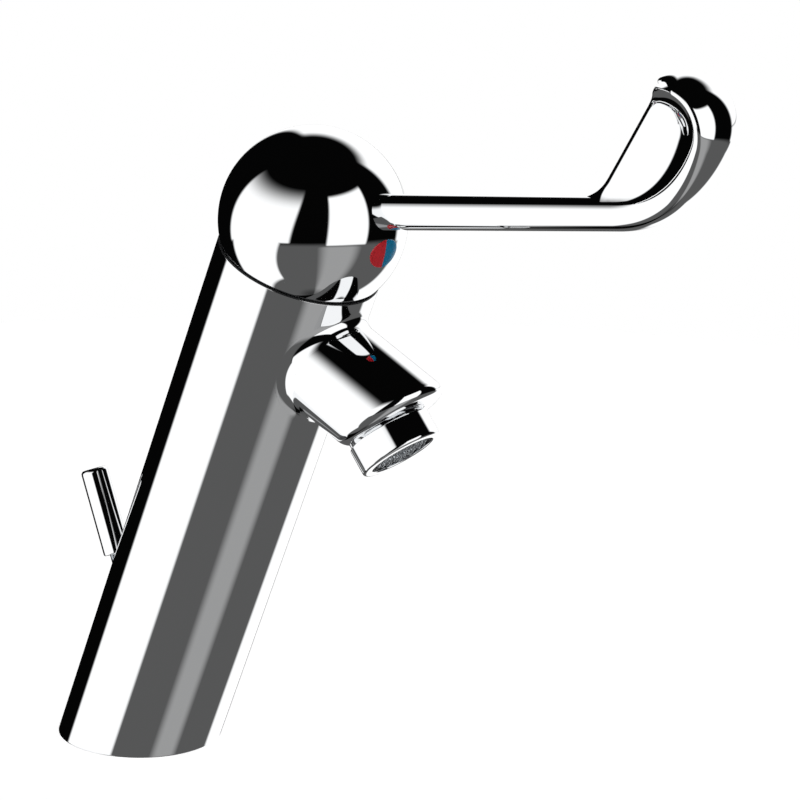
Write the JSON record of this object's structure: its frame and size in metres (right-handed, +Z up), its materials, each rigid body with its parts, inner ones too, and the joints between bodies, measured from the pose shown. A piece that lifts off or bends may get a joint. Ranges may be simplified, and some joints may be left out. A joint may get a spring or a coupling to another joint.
{
  "type": "elbow lever basin tap",
  "caption": "Chromed basin mixer tap with a leaning round barrel, short spout, ball cap, long elbow lever and plug lift rod.",
  "frame": {"origin": "centre of the base on the deck", "axes": "+X to the user, the way the lever and the spout point; +Z up; +Y to the user's right, the cold side"},
  "size_m": [0.2453, 0.056, 0.2323],
  "materials": {
    "chrome": "mirror polished",
    "brass": "machined",
    "rubber": "moulded",
    "white_plastic": "moulded",
    "ceramic": "lapped",
    "blue_plastic": "moulded",
    "grey_plastic": "moulded",
    "steel": "drawn bar",
    "red_enamel": "glossy",
    "blue_enamel": "glossy"
  },
  "bodies": {
    "tap_body": {"body": "chrome", "spout": "chrome", "base_bridge": "brass", "base_seal": "rubber", "valve_block": "brass", "block_seal": "rubber", "port_plate": "brass", "cartridge_base": "white_plastic", "cartridge_seals": "rubber", "cartridge_housing": "white_plastic", "fixed_disc": "ceramic", "cartridge_nut": "brass", "seat_ring": "grey_plastic", "aerator_housing": "chrome", "aerator_insert": "grey_plastic", "aerator_grille": "steel", "aerator_washer_ring": "rubber", "rod_bush": "grey_plastic"},
    "turret_unit": {"turret": "grey_plastic", "pivot_pin": "steel"},
    "handle": {"spindle": "steel", "handle_cap": "chrome", "lever_arm": "chrome", "clamp_screw": "steel", "marker_hot": "red_enamel", "marker_cold": "blue_enamel"},
    "slider": {"disc_carrier": "blue_plastic", "moving_disc": "ceramic"},
    "plug_rod": {"lift_rod": "steel", "lift_knob": "chrome"}
  },
  "joints": [
    {"name": "temperature_turn", "type": "hinge", "parent": "tap_body", "child": "turret_unit", "pos_m": [0.07483, 0, 0.17628], "axis": [0.3907, 0, 0.9205], "range_deg": [-45, 45]},
    {"name": "flow_lift", "type": "hinge", "parent": "turret_unit", "child": "handle", "pos_m": [0.07483, 0, 0.17628], "axis": [0, -1, 0], "range_deg": [0, 20]},
    {"name": "disc_slide", "type": "slide", "parent": "turret_unit", "child": "slider", "axis": [0.9205, 0, -0.3907], "range_m": [0, 0.0069]},
    {"name": "plug_lift", "type": "slide", "parent": "tap_body", "child": "plug_rod", "axis": [-0.342, 0, 0.9397], "range_m": [0, 0.015]}
  ],
  "couplings": [
    {"joint": "disc_slide", "follows": "flow_lift", "m_per_rad": 0.0195}
  ]
}
